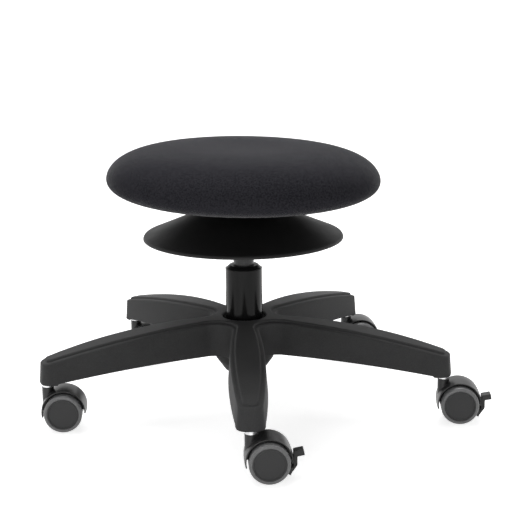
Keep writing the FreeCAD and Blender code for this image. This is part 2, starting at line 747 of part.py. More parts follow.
def seat_board():
    """Plywood board with holes for the tee nuts."""
    holes = pillars(NUT_BARREL_RADIUS, seat_bottom, board_top + CUT_MARGIN, seat_screw_places())
    return cylinder(board_radius, board_bottom, board_top).cut(holes)


def seat_foam():
    """Foam over and round the board."""
    board = cylinder(board_radius, seat_bottom - CUT_MARGIN, board_top)
    flange_top = board_top + NUT_FLANGE_THICKNESS
    nuts = pillars(NUT_FLANGE_RADIUS, seat_bottom, flange_top, seat_screw_places())
    return cushion_inside().cut([board] + nuts)


def seat_nuts():
    """Tee nuts driven into the board from above."""
    nuts = []
    for x, y in seat_screw_places():
        barrel = cylinder(NUT_BARREL_RADIUS, board_bottom, board_top, x, y)
        flange = cylinder(NUT_FLANGE_RADIUS, board_top, board_top + NUT_FLANGE_THICKNESS, x, y)
        bore = cylinder(SEAT_SCREW_RADIUS, seat_bottom, board_top + CUT_MARGIN, x, y)
        nuts.append(barrel.fuse(flange).cut(bore).removeSplitter())
    return Part.makeCompound(nuts)


def seat_screws():
    """Screws through the mount's plate into the tee nuts."""
    screws = []
    for x, y in seat_screw_places():
        shank = cylinder(SEAT_SCREW_RADIUS, mount_plate_bottom, board_top, x, y)
        head_bottom = mount_plate_bottom - SEAT_SCREW_HEAD_HEIGHT
        head = cylinder(SEAT_SCREW_HEAD_RADIUS, head_bottom, mount_plate_bottom, x, y)
        screws.append(shank.fuse(head).removeSplitter())
    return Part.makeCompound(screws)


# Castors, drawn with the stem on the Z axis and the wheels behind it along +X

def on_axle(shape):
    """Copy of a shape drawn about the Z axis, laid on the axle with its Y side upwards."""
    copy = shape.copy()
    copy.rotate(origin, FreeCAD.Vector(1, 0, 0), 90)
    copy.translate(FreeCAD.Vector(TRAIL, 0, WHEEL_RADIUS))
    return copy


def other_side(shape):
    """Mirror image across the castor's middle plane."""
    return shape.mirror(origin, FreeCAD.Vector(0, 1, 0))


def side_plate(corners, half_width):
    """Plate of a side-view outline, given from the axle, across the castor's middle."""
    wire = rounded_wire(corners)
    wire.translate(FreeCAD.Vector(TRAIL, -half_width, WHEEL_RADIUS))
    return Part.Face(wire).extrude(FreeCAD.Vector(0, 2 * half_width, 0))


def cross_pin(radius, half_width, x=0.0, z=0.0):
    """Pin across the castor, at a place given from the axle."""
    start = FreeCAD.Vector(TRAIL + x, -half_width, WHEEL_RADIUS + z)
    return Part.makeCylinder(radius, 2 * half_width, start, FreeCAD.Vector(0, 1, 0))


def wheel_tread():
    """Soft tread with rounded shoulders."""
    return on_axle(revolved([
        (core_radius, wheel_inner), (WHEEL_RADIUS, wheel_inner, TREAD_ROUND),
        (WHEEL_RADIUS, wheel_outer, TREAD_ROUND), (core_radius, wheel_outer),
    ]))


def wheel_core():
    """Hub, closed outer disc, and rim with a lip that stands past the tread."""
    lip = wheel_outer + LIP_PROUD
    face = lip - DISC_SUNK
    rim_inner = core_radius - WHEEL_RIM_THICKNESS
    bore = AXLE_RADIUS + RUNNING_CLEARANCE
    bore_end = axle_half_length + FACE_GAP
    disc_back = face - DISC_THICKNESS
    lip_inner = core_radius - LIP_WIDTH
    return on_axle(revolved([
        (bore, wheel_inner), (DISC_HUB_RADIUS, wheel_inner), (DISC_HUB_RADIUS, disc_back),
        (rim_inner, disc_back), (rim_inner, wheel_inner), (core_radius, wheel_inner),
        (core_radius, lip, LIP_ROUND), (lip_inner, lip, LIP_ROUND), (lip_inner, face, LIP_FOOT_ROUND),
        (0, face), (0, bore_end), (bore, bore_end),
    ]))


def wheel_axle():
    """Axle through the housing and both wheels."""
    return cross_pin(AXLE_RADIUS, axle_half_length)


def castor_hood():
    """Crowned mudguard over both wheels."""
    edge = hood_outer - HOOD_CROWN
    corners = [
        flat(edge, HOOD_HALF_WIDTH), flat(hood_inner, HOOD_HALF_WIDTH),
        flat(hood_inner, -HOOD_HALF_WIDTH), flat(edge, -HOOD_HALF_WIDTH),
    ]
    outer = Part.Arc(corners[-1], flat(hood_outer, 0), corners[0]).toShape()
    lines = [Part.LineSegment(a, b).toShape() for a, b in zip(corners, corners[1:])]
    section = Part.Face(Part.Wire([outer] + lines))
    section.rotate(origin, up, -HOOD_TRAILING_ANGLE)
    return on_axle(section.revolve(origin, up, 180 + HOOD_TRAILING_ANGLE + HOOD_LEADING_ANGLE))


def lug_link(room, side_room, lean):
    """Lug from the hood's trailing end to the lever's pivot, with room round it, leaned about the pivot."""
    x, z = lever_pivot
    half_width, half_thickness = LUG_RADIUS + room, LUG_HALF_WIDTH + side_room
    pivot = flat(x, z)
    start = flat((hood_inner + hood_outer) / 2, 0)
    along = unit(start - pivot)
    across = flat(-along.z, along.x) * half_width
    start = start + along * room
    corners = [pivot - across, pivot + across, start + across, start - across]
    link = side_plate([(c.x, c.z) for c in corners], half_thickness)
    link = link.fuse(cross_pin(half_width, half_thickness, x, z))
    link.rotate(FreeCAD.Vector(TRAIL + x, 0, WHEEL_RADIUS + z), FreeCAD.Vector(0, 1, 0), -lean)
    return link


def castor_housing(braked):
    """Hood, stem boss and middle web in one moulding, with a lug for the lever where there is a brake."""
    boss = cylinder(HOUSING_BOSS_RADIUS, WHEEL_RADIUS, housing_top)
    body = castor_hood().fuse(boss)
    space = on_axle(cylinder(hood_inner, WEB_HALF_WIDTH, wheel_outer))
    body = body.cut([space, other_side(space)])
    web_radius = (hood_inner + hood_outer) / 2
    web_start = FreeCAD.Vector(0, 0, -WEB_HALF_WIDTH)
    web = Part.makeCylinder(web_radius, 2 * WEB_HALF_WIDTH, web_start, up, 180)
    pieces = [on_axle(web), cross_pin(AXLE_BOSS_RADIUS, wheel_inner - FACE_GAP)]
    if braked:
        pieces.append(lug_link(0.0, 0.0, 0.0))
    body = body.fuse(pieces).removeSplitter()
    hole_bottom = housing_top - STEM_LENGTH_DOWN - FACE_GAP
    stem_hole = cylinder(STEM_RADIUS + RUNNING_CLEARANCE, hole_bottom, housing_top + CUT_MARGIN)
    holes = [stem_hole, cross_pin(AXLE_RADIUS, wheel_inner)]
    if braked:
        holes.append(cross_pin(LEVER_PIN_RADIUS, LEVER_HALF_WIDTH, *lever_pivot))
    return body.cut(holes)


def brake_lever():
    """Foot pad on an elbowed arm, slotted over the lug, with a shoe behind both treads."""
    x, z = lever_pivot
    tilt = math.radians(PAD_TILT)
    along, down = flat(math.cos(tilt), math.sin(tilt)), flat(math.sin(tilt), -math.cos(tilt))
    pad = flat(x - PAD_BACK, z + PAD_RISE)
    far = pad + along * PAD_LENGTH
    under = far + down * PAD_THICKNESS
    arm_back = x + ARM_BACK
    crotch = under - along * ((under.x - arm_back) / along.x)
    shoe = WHEEL_RADIUS + SHOE_CLEARANCE
    low, high = SHOE_ANGLES
    low_in, high_in = polar(shoe, low), polar(shoe, high)
    low_out, high_out = polar(shoe + SHOE_THICKNESS, low), polar(shoe + SHOE_THICKNESS, high)
    outline = [
        (pad.x, pad.z, LEVER_ROUND), (x - ARM_FRONT_BACK, high_out[1] + LUG_RADIUS, LEVER_ROUND),
        high_out, high_in, low_in, low_out,
        (arm_back - ELBOW_LENGTH, z - ELBOW_DROP, ELBOW_ROUND), (arm_back, z, ELBOW_ROUND),
        (crotch.x, crotch.z, LEVER_ROUND), (under.x, under.z, LEVER_ROUND), (far.x, far.z, LEVER_ROUND),
    ]
    lever = side_plate(outline, LEVER_HALF_WIDTH)
    bar_across = side_plate([high_out, high_in, low_in, low_out], SHOE_HALF_WIDTH)
    lever = lever.fuse(bar_across).removeSplitter()
    leans = (0.0, LEVER_TRAVEL / 2, LEVER_TRAVEL)
    cutters = [lug_link(TILT_GAP, FACE_GAP, lean) for lean in leans]
    cutters.append(cross_pin(LEVER_PIN_RADIUS + RUNNING_CLEARANCE, LEVER_HALF_WIDTH + CUT_MARGIN, x, z))
    return lever.cut(cutters)


def castor_stem():
    """Steel stem with a collar under the arm and a groove for the grip ring."""
    bottom, end = housing_top - STEM_LENGTH_DOWN, arm_tip_bottom + STEM_LENGTH_UP
    groove_top = end - GRIP_RING_BELOW_END
    groove_bottom = groove_top - GRIP_RING_HEIGHT
    groove = STEM_RADIUS - GRIP_RING_DEPTH
    return revolved([
        (0, bottom), (STEM_RADIUS, bottom), (STEM_RADIUS, collar_bottom),
        (STEM_COLLAR_RADIUS, collar_bottom), (STEM_COLLAR_RADIUS, arm_tip_bottom),
        (STEM_RADIUS, arm_tip_bottom), (STEM_RADIUS, groove_bottom), (groove, groove_bottom),
        (groove, groove_top), (STEM_RADIUS, groove_top), (STEM_RADIUS, end), (0, end),
    ])


def grip_ring():
    """Sprung ring that holds the stem in its socket."""
    top = arm_tip_bottom + STEM_LENGTH_UP - GRIP_RING_BELOW_END
    inner, outer = STEM_RADIUS - GRIP_RING_DEPTH, STEM_RADIUS + STEM_SOCKET_CLEARANCE
    return ring(inner, outer, top - GRIP_RING_HEIGHT, top)


def placed(shape, castor):
    """Copy of a castor piece under its arm, turned to where that castor trails."""
    copy = turned(shape, CASTOR_YAWS[castor])
    copy.translate(FreeCAD.Vector(*polar(STEM_CIRCLE_RADIUS, arm_angles()[castor]), 0))
    return copy


def castor_nodes():
    """All castor pieces, by name."""
    tread, core, axle = wheel_tread(), wheel_core(), wheel_axle()
    housings = {False: castor_housing(False), True: castor_housing(True)}
    lever = brake_lever()
    pin = cross_pin(LEVER_PIN_RADIUS, LEVER_HALF_WIDTH, *lever_pivot)
    sides = (("near", tread, core), ("far", other_side(tread), other_side(core)))
    made = {}
    for i in range(ARM_COUNT):
        name = f"castor_{i + 1}"
        braked = i in BRAKED_CASTORS
        made[name + "_housing"] = placed(housings[braked], i)
        made[name + "_axle"] = placed(axle, i)
        for side, side_tread, side_core in sides:
            made[f"{name}_{side}_tread"] = placed(side_tread, i)
            made[f"{name}_{side}_wheel"] = placed(side_core, i)
        if braked:
            made[name + "_brake_lever"] = placed(lever, i)
            made[name + "_brake_pin"] = placed(pin, i)
    made["castor_stems"] = Part.makeCompound([placed(castor_stem(), i) for i in range(ARM_COUNT)])
    made["grip_rings"] = Part.makeCompound([placed(grip_ring(), i) for i in range(ARM_COUNT)])
    return made


nodes = {
    "base_star": base_star(),
    "hub_ring": hub_ring(),
    "column_tube": column_tube(),
    "guide_bush": guide_bush(),
    "lower_race": ring(ROD_RADIUS + FLOOR_HOLE_CLEARANCE, RACE_RADIUS, lower_race_bottom, balls_bottom),
    "bearing_balls": bearing_balls(),
    "upper_race": ring(ROD_RADIUS, RACE_RADIUS, upper_race_bottom, rod_shoulder_bottom),
    "piston_rod": piston_rod(),
    "retaining_clip": retaining_clip(),
    "bump_stop": ring(ROD_RADIUS, BUMP_RADIUS, bump_bottom, bump_bottom + BUMP_HEIGHT),
    "gas_cylinder": gas_cylinder(),
    "rod_seal": rod_seal(),
    "release_pin": release_pin(),
    "seat_mount": seat_mount(),
    "release_spider": release_spider(),
    "release_dish": release_dish(),
    "dish_screws": dish_screws(),
    "seat_board": seat_board(),
    "seat_nuts": seat_nuts(),
    "seat_screws": seat_screws(),
    "seat_foam": seat_foam(),
    "seat_cover": seat_cover(),
    "dust_cover": dust_cover(),
}
nodes.update(castor_nodes())

os.makedirs("parts", exist_ok=True)
for name, shape in nodes.items():
    shape.exportStep(f"parts/{name}.step")
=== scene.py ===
import json
import math

import bmesh
import bpy
import numpy as np
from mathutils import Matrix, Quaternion, Vector


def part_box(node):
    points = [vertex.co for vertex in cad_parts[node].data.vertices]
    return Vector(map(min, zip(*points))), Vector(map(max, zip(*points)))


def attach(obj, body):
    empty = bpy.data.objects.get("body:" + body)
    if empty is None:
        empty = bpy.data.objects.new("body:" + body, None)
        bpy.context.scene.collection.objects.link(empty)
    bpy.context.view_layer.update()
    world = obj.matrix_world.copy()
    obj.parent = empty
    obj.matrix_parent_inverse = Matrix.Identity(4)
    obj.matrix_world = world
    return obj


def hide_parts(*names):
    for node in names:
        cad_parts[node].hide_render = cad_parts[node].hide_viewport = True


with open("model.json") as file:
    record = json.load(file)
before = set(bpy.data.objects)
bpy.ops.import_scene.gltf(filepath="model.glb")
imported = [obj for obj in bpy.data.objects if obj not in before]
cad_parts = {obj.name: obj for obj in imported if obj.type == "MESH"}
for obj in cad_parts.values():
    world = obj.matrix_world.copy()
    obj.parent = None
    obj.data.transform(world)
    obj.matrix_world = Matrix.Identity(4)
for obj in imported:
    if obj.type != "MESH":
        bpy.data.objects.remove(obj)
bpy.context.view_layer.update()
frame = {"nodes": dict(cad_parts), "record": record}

# Looks of the rolling stool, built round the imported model. Metres, +Z up, -Y is the front.

scene = bpy.context.scene
scene.view_settings.view_transform = "Standard"

# Camera: eye and aim, worked out from the photograph without any shift of the lens
EYE = Vector((0.0003, -1.8112, 0.6401))
AIM = Vector((0.0222, 0.0, 0.2010))
ROLL = math.radians(-0.573)
LENS = 95.04
SENSOR = 36.0

# Studio: place, target, size and watts of each lamp, then the white surroundings
LAMPS = {
    "overhead": ((-0.2, 0.7, 2.0), (0, 0, 0.2), (2.4, 1.6), 36.0),
    "left_box": ((-1.9, -0.6, 1.1), (0, 0, 0.2), (1.0, 1.6), 3.5),
    "right_box": ((1.9, -0.6, 1.1), (0, 0, 0.2), (1.0, 1.6), 2.5),
    "front_box": ((-0.3, -2.4, 0.8), (0, 0, 0.15), (2.0, 1.0), 12.0),
}
WHITE = (1.0, 1.0, 1.0, 1.0)
ROOM_LIGHT = 0.12            # strength of the surroundings as a light; where they are seen it is one
FLOOR_REACH = 30.0           # from the middle to each side
FLOOR_COLOUR = (0.9, 0.9, 0.9, 1.0)
FLOOR_ROUGHNESS = 0.35
FLOOR_LIFT = (0.74, 1.0)     # how much the floor's white is helped, near the stool and far out
FLOOR_FADE = (0.4, 1.6)      # distances from the middle between which that help grows

# Cushion: section measured in the photograph, as two flattened ovals that meet at the side
SIDE_RADIUS = 0.1835
SIDE_LEVEL = 0.3139
CROWN_HEIGHT = 0.0431
CROWN_POWERS = (4.63, 1.91)
BELLY_DEPTH = 0.0269
BELLY_POWERS = (5.64, 2.12)
SECTION_STEPS = 2000         # along each oval, closer together near the side
LEAN = math.radians(1.09)    # of the padding, lower on the right
LEAN_SHIFT = 0.0013          # of the padding to the right
LEAN_FADE = 0.024            # from the board's edge, where it sits still, to where it leans fully
CUSHION_CUTS = 46            # of each face of the cube that the cushion's mesh grows from
SMOOTH_SHARE = 0.5
SMOOTH_PASSES = 3

# Cover: how the simulation swells it, and its pleats under the seat
START_SLACK = 0.001          # crown's height before the pressure swells it, below the final one
SWELL_CAP = 0.005            # how far a point may move
PRESSURE = 4.0
CLOTH_QUALITY = 5
CLOTH_MASS = 0.3
CLOTH_STIFFNESS = 5.0
STAPLE_STIFFNESS = 0.3
FOAM_HOLD = 0.16             # how firmly the foam holds the cover, against one where it is stapled
SIM_FRAMES = 20
HEM_RADIUS = 0.108           # opening of the cover under the seat
HEM_EDGE = 0.003
LINING_LEVEL = 0.0008        # of the hidden middle of the underside, above the lining's face
PLEAT_COUNT = 62
PLEAT_HEIGHT = 0.0007
PLEAT_SEED = 4
SWAY_WAVES = (3, 7, 11)      # round the seat, which make the pleats uneven
SWAY_SIZES = (0.4, 0.9)
SWAY_STARTS = (0, 6)

# Base: bowed tops of the arms as in the solid, and the panel and rim that the photograph shows on them
HUB_TOP = 0.1233
SHOULDER_RADIUS = 0.033      # flat top of the hub
ARM_REACH = 0.2818           # from the column's axis to the arms' ends
ARM_FALL = 0.0324            # of the arms' tops, from the hub to their ends
BOW_RADIUS = round(((ARM_REACH - SHOULDER_RADIUS) ** 2 + ARM_FALL ** 2) / (2 * ARM_FALL), 5)
PANEL_SUNK = 0.0022          # solid's panel, below the bowed top
RIM_ROUND = 0.0042           # rounding of the solid's rim
PANEL_RISE = 0.0013          # shown panel, above the bowed top
PANEL_ROUND = 0.0022
PANEL_ROWS = 5               # of faces along the rounded edge
RIM_DROP = 0.0019            # shown rim, below the bowed top
ON_SURFACE = 0.00003
SAME_POINT = 0.000002
CREASE_ANGLE = math.radians(32)

# Materials: shading shared by several finishes
MATT = 0.1                   # specular levels
SATIN = 0.35
GLOSS = 0.42
RUBBERY = 0.5
BLUE_SHARE = 1.01            # of the greys' blue, against their red and green
NOISE_SPREAD = (0.3, 0.7)    # where nearly all of a noise's values lie
EDGE_SAMPLES = 6
EDGE_COSINES = (0.995, 0.9)  # between true and rounded normal, where an edge starts and is full
PLASTIC_EDGE = 0.0009        # radii over which the shading rounds edges
PAINT_EDGE = 0.0006
STEEL_EDGE = 0.0004
RUBBER_EDGE = 0.0006

# Materials: widths of marks and patches, and depths of relief
GLOSS_CLOUD = 0.045          # of moulded plastic
GLOSS_SPREAD = (0.45, 0.95)
WEAR_PATCH = 0.006
WEAR_SPREAD = (0.35, 0.7)
WEAR_SHARE = (0.1, 0.8)
PEEL_WIDTH = 0.0022          # of sprayed paint
PEEL_DEPTH = 0.00003
PAINT_CLOUD = 0.03
PAINT_SPECK = 0.0006
PAINT_SPREAD = (0.4, 0.9)
COAT_ROUGHNESS = 0.06
SCRATCH_LENGTH = 0.01        # of bare steel
SCRATCH_DEPTH = 0.00001
SCRATCH_STRETCH = 30.0       # length against width
STEEL_CLOUD = 0.008
BLOOM_PATCH = 0.012          # of rubber
BLOOM_SPREAD = (0.5, 0.8)
BLOOM_COLOUR = (0.3, 0.3, 0.29, 1.0)
SKIN_WIDTH = 0.0005
SKIN_DEPTH = 0.00004
WEAVE_PITCH = 0.0011         # of the seat's cloth
WEAVE_DEPTH = 0.00018
YARN_FIBRE = 0.0005
YARN_MOTTLE = 0.0020
CLOTH_PATCH = 0.07
CLOTH_SPREAD = (0.6, 1.0)
LINING_FIBRE = 0.0012        # of the lining under the seat
DIMPLE_WIDTH = 0.0022
DIMPLE_SPREAD = (0.0, 0.5)
DIMPLE_SHARE = (0.0, 0.6)
DIMPLE_DEPTH = 0.0002
GRAIN_LENGTH = 0.02          # of plywood
GRAIN_STRETCH = 14.0
GRAIN_DEPTH = 0.0001
PLY_SCALE = 110.0
PLY_WAVINESS = 0.4


# Materials

class Paint:
    """A node material being made: its tree, its main shader and short ways to add nodes."""

    def __init__(self, name, constants):
        self.material = bpy.data.materials.new(name)
        self.material.use_nodes = True
        self.nodes = self.material.node_tree.nodes
        self.links = self.material.node_tree.links
        self.shader = self.nodes["Principled BSDF"]
        self.fill(self.shader, constants)
        self.place = self.add("ShaderNodeTexCoord", output="Object")

    def fill(self, node, inputs):
        """Sets sockets to values, or links them to other nodes' outputs."""
        for key, value in inputs.items():
            if isinstance(value, bpy.types.NodeSocket):
                self.links.new(value, node.inputs[key])
            else:
                node.inputs[key].default_value = value

    def add(self, kind, inputs=None, output=0, **settings):
        """New node; gives back one of its outputs."""
        node = self.nodes.new(kind)
        for key, value in settings.items():
            setattr(node, key, value)
        self.fill(node, inputs or {})
        return node.outputs[output]

    def noise(self, width, detail=2.0, place=None):
        """Noise whose patches are about this many metres wide."""
        where = place or self.place
        return self.add("ShaderNodeTexNoise", {"Vector": where, "Scale": 1 / width, "Detail": detail})

    def stretched(self, scale):
        """Object coordinates scaled by axis, for marks that are long where the scale is small."""
        return self.add("ShaderNodeMapping", {"Vector": self.place, "Scale": scale})

    def maths(self, operation, a, b=0.0):
        """One step of arithmetic."""
        return self.add("ShaderNodeMath", {0: a, 1: b}, operation=operation)

    def weighed(self, *pairs):
        """Sum of values, each times its weight."""
        total, *others = [self.maths("MULTIPLY", value, weight) for value, weight in pairs]
        for other in others:
            total = self.maths("ADD", total, other)
        return total

    def span(self, value, old, new):
        """Value moved from one range to another and held inside it."""
        names = ("Value", "From Min", "From Max", "To Min", "To Max")
        return self.add("ShaderNodeMapRange", dict(zip(names, (value, *old, *new))))

    def shades(self, value, dark, light, spread=NOISE_SPREAD):
        """Colour that runs from dark to light as the value goes through a range."""
        ramp = self.add("ShaderNodeValToRGB", {"Fac": value}).node
        for stop, position, colour in zip(ramp.color_ramp.elements, spread, (dark, light)):
            stop.position = position
            stop.color = (*colour, 1.0)
        return ramp.outputs["Color"]

    def blend(self, share, first, second):
        """Colours mixed by a share."""
        node = self.add("ShaderNodeMix", data_type="RGBA").node
        self.fill(node, {0: share, 6: first, 7: second})
        return node.outputs[2]

    def edges(self, radius):
        """Rounded normal, and a mask that is one along edges of about this radius."""
        rounded = self.add("ShaderNodeBevel", {"Radius": radius}, samples=EDGE_SAMPLES)
        surface = self.add("ShaderNodeNewGeometry", output="Normal")
        alike = self.add("ShaderNodeVectorMath", {0: rounded, 1: surface}, "Value", operation="DOT_PRODUCT")
        return rounded, self.span(alike, EDGE_COSINES, (0.0, 1.0))

    def bump(self, height, depth, strength=1.0, normal=None):
        """Normal tipped by a height of up to this many metres."""
        inputs = {"Height": height, "Distance": depth, "Strength": strength}
        if normal is not None:
            inputs["Normal"] = normal
        return self.add("ShaderNodeBump", inputs)

    def done(self, **links):
        """Links the shader's main sockets and gives back the material."""
        names = {"colour": "Base Color", "roughness": "Roughness", "normal": "Normal"}
        self.fill(self.shader, {names[key]: value for key, value in links.items()})
        return self.material


def moulded_plastic(name, colours, rough, grain, depth, specular, worn, edge_radius=PLASTIC_EDGE):
    """Plastic from a textured mould: fine grain, cloudy gloss, and edges worn a shade lighter."""
    paint = Paint(name, {"Specular IOR Level": specular})
    rounded, edge = paint.edges(edge_radius)
    fine = paint.noise(grain, detail=3.0)
    cloud = paint.noise(GLOSS_CLOUD, detail=3.0)
    wear = paint.maths("MULTIPLY", edge, paint.span(paint.noise(WEAR_PATCH), WEAR_SPREAD, WEAR_SHARE))
    clean = paint.shades(paint.weighed((fine, 0.5), (cloud, 0.5)), *colours)
    return paint.done(colour=paint.blend(wear, clean, (worn, worn, worn, 1.0)),
                      roughness=paint.span(paint.weighed((cloud, 1.0), (fine, 0.4)), GLOSS_SPREAD, rough),
                      normal=paint.bump(fine, depth, normal=rounded))


def painted_steel(name, colours, rough, specular=SATIN, coat=0.0):
    """Sprayed paint: faint orange peel and dust that dulls the gloss in places."""
    lacquer = {"Coat Weight": coat, "Coat Roughness": COAT_ROUGHNESS}
    paint = Paint(name, {"Specular IOR Level": specular, **lacquer})
    rounded, _ = paint.edges(PAINT_EDGE)
    peel = paint.noise(PEEL_WIDTH, detail=1.0)
    cloud = paint.noise(PAINT_CLOUD, detail=4.0)
    specks = paint.noise(PAINT_SPECK)
    return paint.done(colour=paint.shades(cloud, *colours),
                      roughness=paint.span(paint.weighed((cloud, 1.0), (specks, 0.3)), PAINT_SPREAD, rough),
                      normal=paint.bump(peel, PEEL_DEPTH, strength=0.6, normal=rounded))


def bare_steel(name, colours, rough, scratches):
    """Turned or drawn steel with fine scratches one way, given as a scale by axis, and a duller cloud."""
    paint = Paint(name, {"Metallic": 1.0})
    rounded, edge = paint.edges(STEEL_EDGE)
    scratch = paint.noise(SCRATCH_LENGTH, detail=4.0, place=paint.stretched(scratches))
    cloud = paint.noise(STEEL_CLOUD, detail=3.0)
    return paint.done(colour=paint.blend(edge, paint.shades(cloud, *colours), (*colours[1], 1.0)),
                      roughness=paint.span(scratch, NOISE_SPREAD, rough),
                      normal=paint.bump(scratch, SCRATCH_DEPTH, strength=0.4, normal=rounded))


def soft_rubber(name, colours, rough, bloom, edge_radius=RUBBER_EDGE):
    """Rubber with a dusty bloom and a fine skin."""
    paint = Paint(name, {"Specular IOR Level": RUBBERY})
    rounded, _ = paint.edges(edge_radius)
    dust = paint.noise(BLOOM_PATCH, detail=5.0)
    skin = paint.noise(SKIN_WIDTH)
    dusty = paint.span(dust, BLOOM_SPREAD, (0.0, bloom))
    return paint.done(colour=paint.blend(dusty, paint.shades(skin, *colours), BLOOM_COLOUR),
                      roughness=paint.span(dust, NOISE_SPREAD, rough),
                      normal=paint.bump(skin, SKIN_DEPTH, strength=0.7, normal=rounded))


def plain_weave(paint):
    """Height of yarns that pass over and under each other, laid along the cushion's surface."""
    laid = paint.add("ShaderNodeAttribute", output="Vector", attribute_name="weave")
    yarns = paint.add("ShaderNodeVectorMath", {0: laid, 3: 1 / WEAVE_PITCH}, operation="SCALE")
    split = paint.add("ShaderNodeSeparateXYZ", {"Vector": yarns}).node
    rounds = []
    for axis in (0, 1):
        turn = paint.maths("MULTIPLY", split.outputs[axis], math.pi)
        rounds.append(paint.maths("ABSOLUTE", paint.maths("SINE", turn)))
    over = paint.add("ShaderNodeTexChecker", {"Vector": yarns, "Scale": 1.0}, output="Fac")
    pick = paint.add("ShaderNodeMix").node
    paint.fill(pick, {0: over, 2: rounds[0], 3: rounds[1]})
    return pick.outputs[0]


def woven_fabric():
    """Seat cloth: plain weave of mottled yarns, with painted shade in the dips between yarns, and a soft
    sheen.
    """
    paint = Paint("seat_cloth", {"Sheen Weight": 0.35, "Sheen Roughness": 0.2, "Specular IOR Level": 0.03})
    weave = plain_weave(paint)
    fibre = paint.noise(YARN_FIBRE)
    mottle = paint.noise(YARN_MOTTLE)
    patch = paint.noise(CLOTH_PATCH)
    # The yarns' height also lightens their crowns and darkens the dips between them. That is painted shade
    # of the weave, laid over the yarns' own mottled tone.
    shade = paint.weighed((weave, 0.35), (mottle, 1.1), (patch, 0.2))
    height = paint.weighed((weave, 1.0), (fibre, 0.6))
    dark, light = (0.015, 0.015, 0.019), (0.042, 0.041, 0.048)
    return paint.done(colour=paint.shades(shade, dark, light, CLOTH_SPREAD),
                      roughness=paint.span(mottle, NOISE_SPREAD, (0.86, 0.98)),
                      normal=paint.bump(height, WEAVE_DEPTH, strength=0.55))


def felted_fabric():
    """Thin pressed lining under the seat, with short fibres and a dimpled print."""
    paint = Paint("lining", {"Specular IOR Level": 0.2, "Sheen Weight": 0.1})
    fibre = paint.noise(LINING_FIBRE, detail=6.0)
    cells = {"Vector": paint.place, "Scale": 1 / DIMPLE_WIDTH}
    away = paint.add("ShaderNodeTexVoronoi", cells, output="Distance")
    dimples = paint.span(away, DIMPLE_SPREAD, DIMPLE_SHARE)
    dark, light = (0.010, 0.010, 0.010), (0.024, 0.024, 0.024)
    return paint.done(colour=paint.shades(fibre, dark, light),
                      roughness=paint.span(fibre, NOISE_SPREAD, (0.8, 0.98)),
                      normal=paint.bump(paint.maths("ADD", fibre, dimples), DIMPLE_DEPTH, strength=0.6))


def plywood():
    """Beech plywood: long grain on the faces and plies along the edge."""
    paint = Paint("plywood", {"Specular IOR Level": 0.3})
    lengthwise = paint.stretched((1.0, GRAIN_STRETCH, GRAIN_STRETCH))
    grain = paint.noise(GRAIN_LENGTH, detail=5.0, place=lengthwise)
    bands = {"Vector": paint.place, "Scale": PLY_SCALE, "Distortion": PLY_WAVINESS}
    plies = paint.add("ShaderNodeTexWave", bands, output="Fac", bands_direction="Z")
    dark, light = (0.30, 0.19, 0.10), (0.56, 0.42, 0.27)
    return paint.done(colour=paint.shades(paint.weighed((grain, 0.7), (plies, 0.3)), dark, light),
                      roughness=paint.span(grain, NOISE_SPREAD, (0.5, 0.75)),
                      normal=paint.bump(grain, GRAIN_DEPTH, strength=0.5))


def greys(dark, light):
    """Two nearly neutral colours from two levels."""
    return (dark, dark, dark * BLUE_SHARE), (light, light, light * BLUE_SHARE)


def plastics():
    """Finishes of the moulded pieces, by slot."""
    return {
        "base_nylon": moulded_plastic(
            "glass_nylon", greys(0.050, 0.070), rough=(0.54, 0.66), grain=0.0016, depth=0.00012,
            specular=MATT, worn=0.075, edge_radius=0.0025),
        "dish_plastic": moulded_plastic(
            "dish_plastic", greys(0.007, 0.010), rough=(0.48, 0.60), grain=0.0012, depth=0.00005,
            specular=0.28, worn=0.09, edge_radius=0.002),
        "castor_plastic": moulded_plastic(
            "hood_plastic", greys(0.009, 0.014), rough=(0.28, 0.42), grain=0.0014, depth=0.00006,
            specular=GLOSS, worn=0.06),
        "wheel_plastic": moulded_plastic(
            "wheel_plastic", greys(0.034, 0.045), rough=(0.5, 0.64), grain=0.0008, depth=0.00006,
            specular=SATIN, worn=0.1),
        "lever_plastic": moulded_plastic(
            "lever_plastic", greys(0.010, 0.016), rough=(0.34, 0.5), grain=0.0009, depth=0.00005,
            specular=SATIN, worn=0.045),
        "bush_plastic": moulded_plastic(
            "bush_plastic", greys(0.008, 0.012), rough=(0.28, 0.4), grain=0.0012, depth=0.00003,
            specular=SATIN, worn=0.035),
    }


def metals():
    """Finishes of the steel pieces, by slot: painted, then bare."""
    upright = (SCRATCH_STRETCH, SCRATCH_STRETCH, 1.0)
    round_about = (1.0, 1.0, SCRATCH_STRETCH)
    return {
        "column_paint": painted_steel(
            "column_paint", greys(0.005, 0.008), rough=(0.14, 0.24), specular=0.12, coat=0.05),
        "cylinder_paint": painted_steel("cylinder_paint", greys(0.020, 0.030), rough=(0.25, 0.4)),
        "mount_paint": painted_steel("mount_paint", greys(0.010, 0.016), rough=(0.35, 0.5)),
        # Ring round the column's foot: its own black, darkened to near pure black as painted shade of the
        # gap between column and hub.
        "hub_steel": painted_steel("hub_black_with_painted_gap_shade", greys(0.001, 0.0015), rough=(0.6, 0.8), specular=0.02),
        "black_steel": painted_steel("black_steel", greys(0.009, 0.014), rough=(0.3, 0.45)),
        "rod_chrome": bare_steel("rod_chrome", greys(0.62, 0.78), rough=(0.05, 0.12), scratches=upright),
        "bearing_steel": bare_steel(
            "bearing_steel", greys(0.42, 0.62), rough=(0.12, 0.25), scratches=round_about),
        "zinc_steel": bare_steel("zinc_steel", greys(0.55, 0.78), rough=(0.16, 0.3), scratches=round_about),
    }


